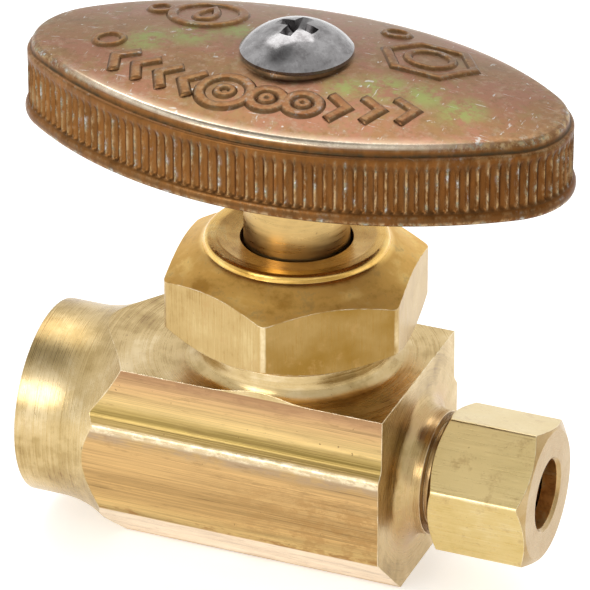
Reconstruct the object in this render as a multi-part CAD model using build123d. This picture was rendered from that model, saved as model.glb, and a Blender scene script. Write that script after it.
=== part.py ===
from build123d import *

import math
import os

# Straight multi-turn stop valve: a brass body soldered onto 5/8 in copper tube at the inlet, a
# compression joint for 1/4 in tube at the outlet, and an oval handle that screws the stem down
# onto the seat.
#
# Frame, in millimetres: the origin is the centre of the inlet socket's mouth, +X runs along the
# flow to the outlet and +Z up the stem. The stem stands at x = STEM_X, and the valve is fully open.

# --- Stem axis and flow axis ---
STEM_X = 25.0              # inlet mouth to stem axis
BLOCK_END_X = 37.2         # flat face that the outlet spigot stands on
RUNNING = 0.05             # radial clearance of a thread or a shaft in its hole
GAP = 0.03                 # clearance between faces that only rest on each other

# --- Body: bar stock, across the flow (y) and up the stem (z) ---
STOCK_TOP_Y, STOCK_TOP_Z = 9.15, 18.0
WAIST_Y, WAIST_Z = 9.45, 4.7
RIDGE_Y, RIDGE_Z = 10.3, 3.7
SIDE_Y, SIDE_Z = 10.2, -5.0
BASE_Y, BASE_Z = 4.25, -10.7
WAIST_CORNER_R, RIDGE_CORNER_R = 0.9, 0.45
SIDE_CORNER_R, BASE_CORNER_R = 0.3, 0.4
DECK_Z = 9.8               # face turned round the neck
NECK_R = 9.0
NECK_ROOT_R = 1.5
NECK_TOP_Z = 17.4
NECK_THREAD_R, NECK_THREAD_Z, NECK_PITCH = 8.7, 12.3, 1.27
NECK_BEVEL = 0.4
INLET_R = 9.3              # outside of the solder socket
FLARE_R = 10.0             # sweep from the socket up to the block
FLARE_END_X = 13.0

# --- Inlet socket and passages ---
SOCKET_R, SOCKET_DEPTH = 8.0, 12.7     # takes 15.9 mm copper tube
INLET_BORE_R, INLET_BORE_X = 6.4, 16.0
GALLERY_R, GALLERY_Z, GALLERY_X = 3.4, -3.4, 28.4
CHAMBER_R, CHAMBER_Z = 6.0, 1.0
PORT_R = 3.2
SEAT_R, SEAT_Z = 4.2, 1.8
STUFFING_R, STUFFING_Z = 7.0, 14.3

# --- Outlet spigot and compression joint ---
SHOULDER_R, SHOULDER_ROOT_R, SHOULDER_X = 5.9, 1.8, 39.6
SPIGOT_R, SPIGOT_X, SPIGOT_PITCH = 5.5, 45.8, 25.4 / 24
RELIEF_R, RELIEF_LENGTH = 4.95, 0.7
TUBE_R = 3.22              # takes 6.35 mm tube
TUBE_STOP_X = 41.0
TUBE_STOP_T = 0.8          # wall left between the tube's end and the outlet passage's own end
CONE_MOUTH_R, CONE_DEPTH = 4.3, 2.2
OUTLET_BORE_R = 2.3
OUTLET_RISE_Z = 3.9        # height at which the outlet passage meets the chamber
NUT_FLATS, NUT_X0, NUT_X1 = 12.7, 40.4, 50.1
NUT_TURN = 44.1            # angle of the first corner from +Y, at hand tight
NUT_THREAD_X, NUT_CONE_X, NUT_MOUTH_R = 46.9, 48.4, 3.3
NUT_CORNER_R, NUT_BEVEL_ANGLE = 0.35, 30.0
SLEEVE_R, SLEEVE_X0 = 4.6, 44.6
SLEEVE_CONE_IN, SLEEVE_CONE_OUT = 2.0, 1.0     # lengths of its two cones

# --- Bonnet nut ---
BONNET_FLATS, BONNET_Z0 = 22.2, 13.5
BONNET_TURN = 38.0
BONNET_CORNER_R = 1.1
BONNET_CEILING_Z = 19.5
BONNET_HOLE_R = 5.26
BONNET_LIP_Z = 22.15       # edge of the stem hole
BONNET_FOOT_BEVEL = 1.5    # height of the bevel under the hexagon's corners
CONE_FOOT_R, CONE_FOOT_Z = 13.4, 18.85     # cone over the hexagon, beyond its corners
CONE_KNEE_R, CONE_KNEE_Z = 11.1, 20.05     # where the cone steepens towards the rim
CONE_KNEE_FILLET = 8.0
RIM_FOOT_R, RIM_FOOT_Z = 8.65, 21.8
RIM_R0, RIM_R1, RIM_Z = 7.35, 8.55, 22.45
FACE_R = 11.0              # flat bearing face under the hexagon

# --- Stem, seat washer and packing ---
STEM_R = 4.93
STEM_PITCH = 25.4 / 18
LIFT = 3.5 * STEM_PITCH    # travel from open to shut
STEM_THREAD_R, STEM_THREAD_Z0, STEM_THREAD_Z1 = 5.95, 9.9, 14.25
STEM_BEVEL = 0.3
WASHER_R, WASHER_HOLE_R, WASHER_T = 4.6, 1.65, 2.4
CUP_R, CUP_DEPTH = 5.3, 1.1
WASHER_Z0 = SEAT_Z + LIFT + GAP
TANG_FLATS, TANG_Z0, TANG_Z1 = 6.8, 33.2, 38.7
TANG_CORNER_R = 0.5
WASHER_SCREW_HEAD_R, WASHER_SCREW_HEAD_T = 2.5, 1.2
WASHER_SCREW_R, WASHER_SCREW_LENGTH, WASHER_SCREW_PITCH = 1.45, 6.0, 0.7
SLOT_WIDTH, SLOT_DEPTH = 0.7, 0.6
RING_T = 1.0
PACKING_T = 3.0

# --- Handle: an oval shell, long axis close to the flow ---
HANDLE_A, HANDLE_B, HANDLE_TIP_R = 26.4, 13.55, 7.0
HANDLE_TURN = -1.2         # angle of the long axis from the flow, where the stem came to rest
LIP_OUT, LIP_Z0, LIP_Z1 = 0.3, 31.4, 32.5
CROWN_Z, CROWN_RX, CROWN_RY = 40.9, 160.0, 44.0
WALL_T, ROOF_T = 1.8, 1.7
LEDGE, LEDGE_DROP = 0.42, 0.85     # step from the crowned top down to the fluted rim
EDGE_R = 0.55
HUB_R = 6.8
SOCKET_CLEARANCE = 0.05    # square socket over the stem's tang
SOCKET_CORNER_R = 0.4
WEB_T, WEB_Z0 = 1.6, 34.5  # short webs from the hub to the long walls
BOSS_R, BOSS_Z = 5.0, 41.1     # low round boss that the screw head sits on

# --- Handle screw ---
SCREW_HEAD_R, SCREW_HEAD_T, SCREW_EDGE_T = 5.2, 2.65, 0.3
SCREW_R, SCREW_LENGTH, SCREW_PITCH = 2.38, 9.0, 25.4 / 24
SCREW_HOLE_R = 2.6
RECESS_R, RECESS_WIDTH, RECESS_DEPTH, RECESS_TURN = 2.2, 1.2, 1.9, 79.0

STEM_AXIS = Axis((STEM_X, 0, 0), (0, 0, 1))


def corner(face, point, radius):
    """Rounds the corner of a flat outline that lies nearest to point."""
    vertex = face.vertices().sort_by_distance((*point, 0))[0]
    return fillet(vertex, radius)


def turned_on_stem(outline):
    """Solid turned about the stem from a flat outline drawn as (radius, z)."""
    return Pos(STEM_X, 0, 0) * revolve(Plane.XZ * outline, Axis.Z)


def turned_on_flow(outline):
    """Solid turned about the flow axis from a flat outline drawn as (x, radius)."""
    return revolve(outline, Axis.X)


def polygon(*points):
    return make_face(Polyline(*points, close=True))


def rod_z(radius, z0, z1, x=STEM_X):
    return Pos(x, 0, z0) * Cylinder(radius, z1 - z0, align=(Align.CENTER, Align.CENTER, Align.MIN))


def rod_x(radius, x0, x1, z=0):
    return Pos(x0, 0, z) * Rot(0, 90, 0) * rod_z(radius, 0, x1 - x0, 0)


def thread_teeth(radius, pitch, start, end):
    """Points (radius, along) of a V thread's crests and roots, from start to end."""
    depth = 0.5 * pitch
    turns = int((end - start) / pitch)
    points = []
    for turn in range(turns):
        foot = start + turn * pitch
        points += [(radius, foot + 0.1 * pitch), (radius - depth, foot + 0.5 * pitch)]
        points += [(radius, foot + 0.9 * pitch)]
    return points


def hexagon(flats, radius):
    """Hexagon with its corners rounded to radius, first corner on +X."""
    face = RegularPolygon(flats / 2, 6, major_radius=False)
    return fillet(face.vertices(), radius)


def stock_outline():
    """Cross-section of the bar that the block is cut from, drawn as (y, z)."""
    right = [(STOCK_TOP_Y, STOCK_TOP_Z), (WAIST_Y, WAIST_Z), (RIDGE_Y, RIDGE_Z)]
    right += [(SIDE_Y, SIDE_Z), (BASE_Y, BASE_Z)]
    left = [(-y, z) for y, z in reversed(right)]
    face = polygon(*right, *left)
    for side in (1, -1):
        face = corner(face, (side * RIDGE_Y, RIDGE_Z), RIDGE_CORNER_R)
        face = corner(face, (side * WAIST_Y, WAIST_Z), WAIST_CORNER_R)
        face = corner(face, (side * SIDE_Y, SIDE_Z), SIDE_CORNER_R)
        face = corner(face, (side * BASE_Y, BASE_Z), BASE_CORNER_R)
    return face


def make_body():
    """Body cut from bar: turned inlet, flare, neck and outlet spigot, then the passages."""
    far = 40.0
    stock = extrude(Plane.YZ * stock_outline(), BLOCK_END_X)

    above = polygon((NECK_R, STOCK_TOP_Z + 2), (NECK_R, DECK_Z), (far, DECK_Z), (far, STOCK_TOP_Z + 2))
    stock -= turned_on_stem(corner(above, (NECK_R, DECK_Z), NECK_ROOT_R))
    stock -= turned_on_stem(polygon((0, NECK_TOP_Z), (far, NECK_TOP_Z), (far, far), (0, far)))
    teeth = thread_teeth(NECK_THREAD_R, NECK_PITCH, NECK_THREAD_Z, NECK_TOP_Z)
    stock -= turned_on_stem(polygon(
        (far, NECK_THREAD_Z), (NECK_THREAD_R, NECK_THREAD_Z), *teeth,
        (NECK_THREAD_R, NECK_TOP_Z), (NECK_THREAD_R - NECK_BEVEL, NECK_TOP_Z + NECK_BEVEL),
        (far, NECK_TOP_Z + NECK_BEVEL)))

    outside = polygon((-1, INLET_R), (FLARE_END_X, INLET_R), (FLARE_END_X, far), (-1, far))
    stock -= turned_on_flow(corner(outside, (FLARE_END_X, INLET_R), FLARE_R))

    spigot = polygon(
        (BLOCK_END_X - 1, 0), (BLOCK_END_X - 1, SHOULDER_R), (SHOULDER_X, SHOULDER_R),
        (SHOULDER_X, RELIEF_R), (SHOULDER_X + RELIEF_LENGTH, RELIEF_R),
        (SHOULDER_X + RELIEF_LENGTH, SPIGOT_R - 0.1),
        *[(x, r) for r, x in thread_teeth(SPIGOT_R, SPIGOT_PITCH, SHOULDER_X + RELIEF_LENGTH, SPIGOT_X)],
        (SPIGOT_X, SPIGOT_R - 0.25), (SPIGOT_X, 0))
    root = polygon(
        (BLOCK_END_X, SHOULDER_R), (BLOCK_END_X + SHOULDER_ROOT_R, SHOULDER_R),
        (BLOCK_END_X + SHOULDER_ROOT_R, SHOULDER_R + SHOULDER_ROOT_R),
        (BLOCK_END_X, SHOULDER_R + SHOULDER_ROOT_R))
    hollow = Pos(BLOCK_END_X + SHOULDER_ROOT_R, SHOULDER_R + SHOULDER_ROOT_R) * Circle(SHOULDER_ROOT_R)
    body = stock + turned_on_flow(spigot) + turned_on_flow(root - hollow)

    body -= rod_x(SOCKET_R, -1, SOCKET_DEPTH) + rod_x(INLET_BORE_R, 0, INLET_BORE_X)
    body -= rod_x(GALLERY_R, SOCKET_DEPTH, GALLERY_X, GALLERY_Z)
    body -= rod_z(PORT_R, GALLERY_Z, SEAT_Z + 1)
    body -= rod_z(CHAMBER_R, SEAT_Z, NECK_TOP_Z + 1)
    body -= rod_z(CHAMBER_R, CHAMBER_Z, SEAT_Z) - rod_z(SEAT_R, CHAMBER_Z, SEAT_Z)
    body -= rod_z(STUFFING_R, STUFFING_Z, NECK_TOP_Z + 1)

    cone = polygon(
        (TUBE_STOP_X, 0), (TUBE_STOP_X, TUBE_R), (SPIGOT_X - CONE_DEPTH, TUBE_R),
        (SPIGOT_X, CONE_MOUTH_R), (SPIGOT_X + 1, CONE_MOUTH_R), (SPIGOT_X + 1, 0))
    body -= turned_on_flow(cone)
    run = TUBE_STOP_X + TUBE_STOP_T - STEM_X
    slope = math.atan2(OUTLET_RISE_Z, run - CHAMBER_R)
    length = (run - 0.5 * CHAMBER_R) / math.cos(slope)
    passage = Cylinder(OUTLET_BORE_R, length, align=(Align.CENTER, Align.CENTER, Align.MIN))
    body -= Pos(STEM_X + run, 0, 0) * Rot(0, -90 + math.degrees(slope), 0) * passage
    return body


def make_bonnet_nut():
    brow = polygon(
        (0, BONNET_Z0), (FACE_R, BONNET_Z0), (CONE_FOOT_R, BONNET_Z0 + BONNET_FOOT_BEVEL),
        (CONE_FOOT_R, CONE_FOOT_Z),
        (CONE_KNEE_R, CONE_KNEE_Z), (RIM_FOOT_R, RIM_FOOT_Z), (RIM_R1, RIM_Z), (RIM_R0, RIM_Z),
        (BONNET_HOLE_R, BONNET_LIP_Z), (0, BONNET_LIP_Z))
    brow = corner(brow, (CONE_KNEE_R, CONE_KNEE_Z), CONE_KNEE_FILLET)
    brow = corner(brow, (RIM_FOOT_R, RIM_FOOT_Z), 0.12)
    brow = corner(brow, (RIM_R1, RIM_Z), 0.5)
    brow = corner(brow, (RIM_R0, RIM_Z), 0.4)
    prism = Pos(STEM_X, 0, 0) * Rot(0, 0, BONNET_TURN) * extrude(
        hexagon(BONNET_FLATS, BONNET_CORNER_R), RIM_Z + 1)
    nut = turned_on_stem(brow) & prism
    nut -= rod_z(BONNET_HOLE_R, 0, RIM_Z + 1)
    nut -= rod_z(NECK_THREAD_R + RUNNING, 0, BONNET_CEILING_Z)
    nut -= turned_on_stem(polygon(
        (0, BONNET_Z0 - 1), (NECK_R + 1.3, BONNET_Z0 - 1), (NECK_R + 0.3, BONNET_Z0),
        (NECK_THREAD_R + RUNNING, BONNET_Z0 + 0.4), (0, BONNET_Z0 + 0.4)))
    return nut


def ring_in_stuffing_box(inner_r, z0, z1, rounding=0.12):
    """Flat ring round the stem, inside the neck's stuffing box, with its outer edges rounded."""
    outer_r = STUFFING_R - RUNNING
    face = polygon((inner_r, z0), (outer_r, z0), (outer_r, z1), (inner_r, z1))
    for z in (z0, z1):
        face = corner(face, (outer_r, z), rounding)
    return turned_on_stem(face)


def make_packing_washer():
    return ring_in_stuffing_box(STEM_R + RUNNING, STUFFING_Z + GAP, STUFFING_Z + RING_T)


def packing_z():
    """Bottom and top of the packing."""
    z0 = STUFFING_Z + RING_T + GAP
    return z0, z0 + PACKING_T


def make_packing():
    z0, z1 = packing_z()
    return ring_in_stuffing_box(STEM_R + GAP, z0, z1, 0.4)


def make_friction_ring():
    z0 = packing_z()[1] + GAP
    return ring_in_stuffing_box(STEM_R + RUNNING, z0, BONNET_CEILING_Z - GAP)


def make_stem():
    """Spindle: washer cup at the bottom, thread, plain shank and a square tang for the handle."""
    cup_z = WASHER_Z0 + WASHER_T - CUP_DEPTH
    teeth = thread_teeth(STEM_THREAD_R, STEM_PITCH, STEM_THREAD_Z0 + 0.2, STEM_THREAD_Z1)
    outline = polygon(
        (0, cup_z + CUP_DEPTH + GAP), (WASHER_R + RUNNING, cup_z + CUP_DEPTH + GAP),
        (WASHER_R + RUNNING, cup_z), (CUP_R, cup_z), (CUP_R, STEM_THREAD_Z0),
        *teeth, (STEM_THREAD_R, STEM_THREAD_Z1), (STEM_R, STEM_THREAD_Z1),
        (STEM_R, TANG_Z0 - STEM_BEVEL), (STEM_R - STEM_BEVEL, TANG_Z0), (0, TANG_Z0))
    stem = turned_on_stem(outline)
    square = fillet(Rectangle(TANG_FLATS, TANG_FLATS).vertices(), TANG_CORNER_R)
    stem += Pos(STEM_X, 0, TANG_Z0 - 0.1) * Rot(0, 0, HANDLE_TURN) * extrude(square, TANG_Z1 - TANG_Z0 + 0.1)
    stem -= rod_z(SCREW_R + RUNNING, BOSS_Z - SCREW_LENGTH - 0.8, TANG_Z1 + 1)
    stem -= rod_z(WASHER_SCREW_R + RUNNING, 0, WASHER_Z0 + WASHER_SCREW_LENGTH + 0.5)
    return stem


def make_seat_washer():
    """Flat rubber washer that closes on the seat, with a rounded working edge."""
    z0, z1 = WASHER_Z0, WASHER_Z0 + WASHER_T
    face = polygon((WASHER_HOLE_R, z0), (WASHER_R, z0), (WASHER_R, z1), (WASHER_HOLE_R, z1))
    return turned_on_stem(corner(face, (WASHER_R, z0), 0.5))


def make_seat_washer_screw():
    """Pan-head screw, head down, that holds the washer in the stem's cup."""
    top = WASHER_Z0 + WASHER_SCREW_LENGTH
    head_z = WASHER_Z0 - GAP
    teeth = thread_teeth(WASHER_SCREW_R, WASHER_SCREW_PITCH, WASHER_Z0 + WASHER_T, top - 0.3)
    face = polygon(
        (0, head_z - WASHER_SCREW_HEAD_T), (WASHER_SCREW_HEAD_R, head_z - WASHER_SCREW_HEAD_T),
        (WASHER_SCREW_HEAD_R, head_z), (WASHER_SCREW_R, head_z), *teeth,
        (WASHER_SCREW_R - 0.3, top), (0, top))
    face = corner(face, (WASHER_SCREW_HEAD_R, head_z - WASHER_SCREW_HEAD_T), 0.6)
    slot = Pos(STEM_X, 0, head_z - WASHER_SCREW_HEAD_T) * Box(
        2 * WASHER_SCREW_HEAD_R + 1, SLOT_WIDTH, 2 * SLOT_DEPTH)
    return turned_on_stem(face) - slot


def oval_wire(grow=0.0):
    """Outline of the handle as four tangent arcs, grown outwards by grow, centred on the stem."""
    a, b, tip = HANDLE_A + grow, HANDLE_B + grow, HANDLE_TIP_R + grow
    side = ((a - tip) ** 2 + b ** 2 - tip ** 2) / (2 * (b - tip))
    angle = math.atan2(a - tip, side - b)
    x, y = side * math.sin(angle), side * math.cos(angle) - (side - b)
    arcs = [
        ThreePointArc((-x, y), (0, b), (x, y)), ThreePointArc((x, y), (a, 0), (x, -y)),
        ThreePointArc((x, -y), (0, -b), (-x, -y)), ThreePointArc((-x, -y), (-a, 0), (-x, y))]
    return Wire([arc.edge() for arc in arcs])


def oval_slab(grow, z0, z1):
    return Pos(STEM_X, 0, z0) * extrude(make_face(oval_wire(grow)), z1 - z0)


def crown(drop):
    """Everything under the handle's crowned top, lowered by drop: a patch of a torus."""
    top, along, across, half = CROWN_Z - drop, CROWN_RX - drop, CROWN_RY - drop, 22.0
    edge_z, foot_z = top - across + math.sqrt(across ** 2 - half ** 2), LIP_Z0 - 8
    arc = ThreePointArc((-half, edge_z), (0, top), (half, edge_z))
    sides = Polyline((half, edge_z), (half, foot_z), (-half, foot_z), (-half, edge_z))
    face = Plane.YZ * make_face(Curve() + arc + sides)
    axis = Axis((0, 0, top - along), (0, 1, 0))
    sweep = 24.0               # degrees along the handle, well past both tips
    solid = revolve(face, axis, sweep)
    middle = Pos(0, 0, top - along) * Rot(0, -sweep / 2, 0) * Pos(0, 0, along - top)
    return Pos(STEM_X, 0, 0) * middle * solid


def make_handle():
    """Hollow shell with a hub over the stem's tang and a web to each long wall."""
    top = oval_slab(-LEDGE, LIP_Z0, CROWN_Z + 1) & crown(0)
    rim = top.edges().filter_by(lambda edge: edge.center().Z > LIP_Z0 + 3)
    shell = fillet(rim, EDGE_R) + (oval_slab(0, LIP_Z0, CROWN_Z + 1) & crown(LEDGE_DROP))
    shell += oval_slab(LIP_OUT, LIP_Z0, LIP_Z1)
    shell -= oval_slab(-WALL_T, LIP_Z0 - 1, CROWN_Z) & crown(ROOF_T)
    inside = oval_slab(-WALL_T / 2, TANG_Z0, CROWN_Z) & crown(ROOF_T / 2)
    hub = rod_z(HUB_R, TANG_Z0, CROWN_Z)
    web = Pos(STEM_X, 0, WEB_Z0) * Box(
        WEB_T, 2 * HANDLE_B, CROWN_Z - WEB_Z0, align=(Align.CENTER, Align.CENTER, Align.MIN))
    handle = shell + ((hub + web) & inside)
    handle += rod_z(BOSS_R, CROWN_Z - 1, BOSS_Z) - crown(0)
    side = TANG_FLATS + 2 * SOCKET_CLEARANCE
    square = fillet(Rectangle(side, side).vertices(), SOCKET_CORNER_R)
    handle -= Pos(STEM_X, 0, TANG_Z0 - 1) * extrude(square, TANG_Z1 + GAP - TANG_Z0 + 1)
    handle -= rod_z(SCREW_HOLE_R, TANG_Z0, BOSS_Z + 1)
    return handle.rotate(STEM_AXIS, HANDLE_TURN)


def make_handle_screw():
    """Truss-head screw down through the handle into the stem."""
    head = make_face(Curve() + [
        Line((0, BOSS_Z), (SCREW_HEAD_R, BOSS_Z)),
        Line((SCREW_HEAD_R, BOSS_Z), (SCREW_HEAD_R, BOSS_Z + SCREW_EDGE_T)),
        ThreePointArc(
            (SCREW_HEAD_R, BOSS_Z + SCREW_EDGE_T),
            (0.66 * SCREW_HEAD_R, BOSS_Z + 0.68 * SCREW_HEAD_T),
            (0, BOSS_Z + SCREW_HEAD_T)),
        Line((0, BOSS_Z + SCREW_HEAD_T), (0, BOSS_Z))])
    tip = BOSS_Z - SCREW_LENGTH
    teeth = thread_teeth(SCREW_R, SCREW_PITCH, tip + 0.5, BOSS_Z - 2)
    shank = polygon(
        (0, tip), (SCREW_R - 0.5, tip), (SCREW_R - 0.1, tip + 0.5), *teeth,
        (SCREW_R, BOSS_Z - 2), (SCREW_R, BOSS_Z + 0.2), (0, BOSS_Z + 0.2))
    screw = turned_on_stem(head) + turned_on_stem(shank)
    wide = Rectangle(2 * RECESS_R, RECESS_WIDTH)
    cross = wide + Rot(0, 0, 90) * wide
    top = BOSS_Z + SCREW_HEAD_T
    recess = Pos(STEM_X, 0, top - RECESS_DEPTH) * extrude(
        cross, RECESS_DEPTH + 0.2) & Pos(STEM_X, 0, top - RECESS_DEPTH) * Cone(
        0.5, RECESS_R + 0.2, RECESS_DEPTH + 0.1, align=(Align.CENTER, Align.CENTER, Align.MIN))
    return screw - Pos(STEM_X, 0, 0) * Rot(0, 0, RECESS_TURN) * Pos(-STEM_X, 0, 0) * recess


def make_outlet_nut():
    face_r, tip_r = NUT_FLATS / 2 - 0.2, NUT_FLATS / 2 + 1.2
    bevel = (tip_r - face_r) * math.tan(math.radians(NUT_BEVEL_ANGLE))
    brow = polygon(
        (NUT_X0, 0), (NUT_X0, face_r), (NUT_X0 + bevel, tip_r),
        (NUT_X1 - bevel, tip_r), (NUT_X1, face_r), (NUT_X1, 0))
    prism = Pos(NUT_X0 - 1, 0, 0) * Rot(NUT_TURN, 0, 0) * Rot(0, 90, 0) * extrude(
        Rot(0, 0, 90) * hexagon(NUT_FLATS, NUT_CORNER_R), NUT_X1 - NUT_X0 + 2)
    nut = turned_on_flow(brow) & prism
    bore_r = SPIGOT_R + RUNNING
    cavity = polygon(
        (NUT_X0 - 1, 0), (NUT_X0 - 1, bore_r + 0.4), (NUT_X0, bore_r + 0.4), (NUT_X0 + 0.4, bore_r),
        (NUT_THREAD_X, bore_r), (NUT_CONE_X, NUT_MOUTH_R), (NUT_X1 - 0.3, NUT_MOUTH_R),
        (NUT_X1, NUT_MOUTH_R + 0.3), (NUT_X1 + 1, NUT_MOUTH_R + 0.3), (NUT_X1 + 1, 0))
    return nut - turned_on_flow(cavity)


def make_compression_sleeve():
    """Brass ring with a cone at each end, between the spigot's cone and the nut's."""
    x0, x1 = SLEEVE_X0, NUT_CONE_X - 0.2
    return turned_on_flow(polygon(
        (x0, TUBE_R), (x0, TUBE_R + 0.2), (x0 + SLEEVE_CONE_IN, SLEEVE_R), (x1 - SLEEVE_CONE_OUT, SLEEVE_R),
        (x1, TUBE_R + 0.25), (x1, TUBE_R)))


PARTS = {
    "valve_body": make_body,
    "bonnet_nut": make_bonnet_nut,
    "packing_washer": make_packing_washer,
    "stem_packing": make_packing,
    "friction_ring": make_friction_ring,
    "stem": make_stem,
    "seat_washer": make_seat_washer,
    "seat_washer_screw": make_seat_washer_screw,
    "handle": make_handle,
    "handle_screw": make_handle_screw,
    "outlet_nut": make_outlet_nut,
    "compression_sleeve": make_compression_sleeve,
}

os.makedirs("parts", exist_ok=True)
for name, make in PARTS.items():
    solid = make()
    box = solid.bounding_box()
    print(f"{name}: {len(solid.solids())} solid, {solid.volume:.1f} mm3, "
          f"x {box.min.X:.2f}..{box.max.X:.2f}, z {box.min.Z:.2f}..{box.max.Z:.2f}")
    export_step(solid, f"parts/{name}.step")
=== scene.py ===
import math

import bmesh
import bpy
import numpy as np
from mathutils import Matrix, Vector


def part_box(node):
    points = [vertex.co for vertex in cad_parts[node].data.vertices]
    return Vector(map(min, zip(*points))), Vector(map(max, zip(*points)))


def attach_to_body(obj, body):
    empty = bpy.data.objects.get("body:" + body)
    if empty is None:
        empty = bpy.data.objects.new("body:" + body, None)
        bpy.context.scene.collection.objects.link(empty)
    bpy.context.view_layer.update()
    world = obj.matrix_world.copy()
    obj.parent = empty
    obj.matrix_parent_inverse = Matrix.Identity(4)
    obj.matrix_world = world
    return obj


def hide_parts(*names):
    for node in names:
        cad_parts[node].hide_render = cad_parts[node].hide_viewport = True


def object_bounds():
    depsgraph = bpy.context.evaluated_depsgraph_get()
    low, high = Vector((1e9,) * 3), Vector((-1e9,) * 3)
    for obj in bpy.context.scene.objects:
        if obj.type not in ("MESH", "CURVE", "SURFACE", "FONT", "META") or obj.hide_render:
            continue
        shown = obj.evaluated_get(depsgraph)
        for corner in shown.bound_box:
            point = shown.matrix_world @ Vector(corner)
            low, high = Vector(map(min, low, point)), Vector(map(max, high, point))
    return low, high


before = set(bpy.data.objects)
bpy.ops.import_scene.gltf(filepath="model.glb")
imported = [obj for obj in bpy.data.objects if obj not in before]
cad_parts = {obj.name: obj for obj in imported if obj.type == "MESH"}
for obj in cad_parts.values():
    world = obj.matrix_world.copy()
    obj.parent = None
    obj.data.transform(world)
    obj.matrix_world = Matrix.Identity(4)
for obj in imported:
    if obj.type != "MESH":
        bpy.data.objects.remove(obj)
cad_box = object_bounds()

MM = 0.001


# ---------------------------------------------------------------- places, in row frame metres

STEM_LOW, STEM_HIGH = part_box("stem")
STEM_X = (STEM_LOW + STEM_HIGH).x / 2
HANDLE_LOW, HANDLE_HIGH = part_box("handle")
BODY_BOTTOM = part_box("valve_body")[0].z

# the body
SKIN = 0.06 * MM                             # how near a surface a point must lie to belong to it
INLET_R = 9.3 * MM                           # outside of the inlet socket
FLARE_R, FLARE_X = 10.0 * MM, 3.0 * MM       # sweep from the socket up to the block, and where it starts
DECK_Z = 9.8 * MM                            # turned face round the neck
END_X = 37.2 * MM                            # turned face round the outlet spigot

# the handle, about its own axes, in the CAD model's sizes
HANDLE_TURN = math.radians(-1.2)
OVAL_A, OVAL_B = 26.4 * MM, 13.55 * MM       # half its length and half its width
OVAL_TIP = 7.0 * MM                          # radius of its ends
CROWN_Z = 40.9 * MM                          # highest point of the crowned top
CROWN_RX, CROWN_RY = 160 * MM, 44 * MM       # the crown's radii along and across
WALL_T, ROOF_T = 1.8 * MM, 1.7 * MM
EDGE_R = 0.55 * MM                           # rolled edge round the top
LEDGE, LEDGE_DROP = 0.42 * MM, 0.85 * MM     # step from that edge out to the rim
LIP_OUT, LIP_H = 0.3 * MM, 1.1 * MM          # bead round the bottom
BOSS_R, BOSS_Z = 5.0 * MM, 41.1 * MM         # flat boss under the screw
SCREW_HOLE_R = 2.6 * MM
HUB_R, HUB_Z = 6.8 * MM, 33.2 * MM
BORE_R, BORE_TOP = 4.9 * MM, 38.75 * MM      # opening in the hub, round the stem
WEB_T, WEB_Z = 1.6 * MM, 34.5 * MM
FLUTES, FLUTE_STEPS = 140, 6                 # flutes round the rim, and points across each
FLUTE_DEPTH = 0.34 * MM


# ---------------------------------------------------------------- material nodes

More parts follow.
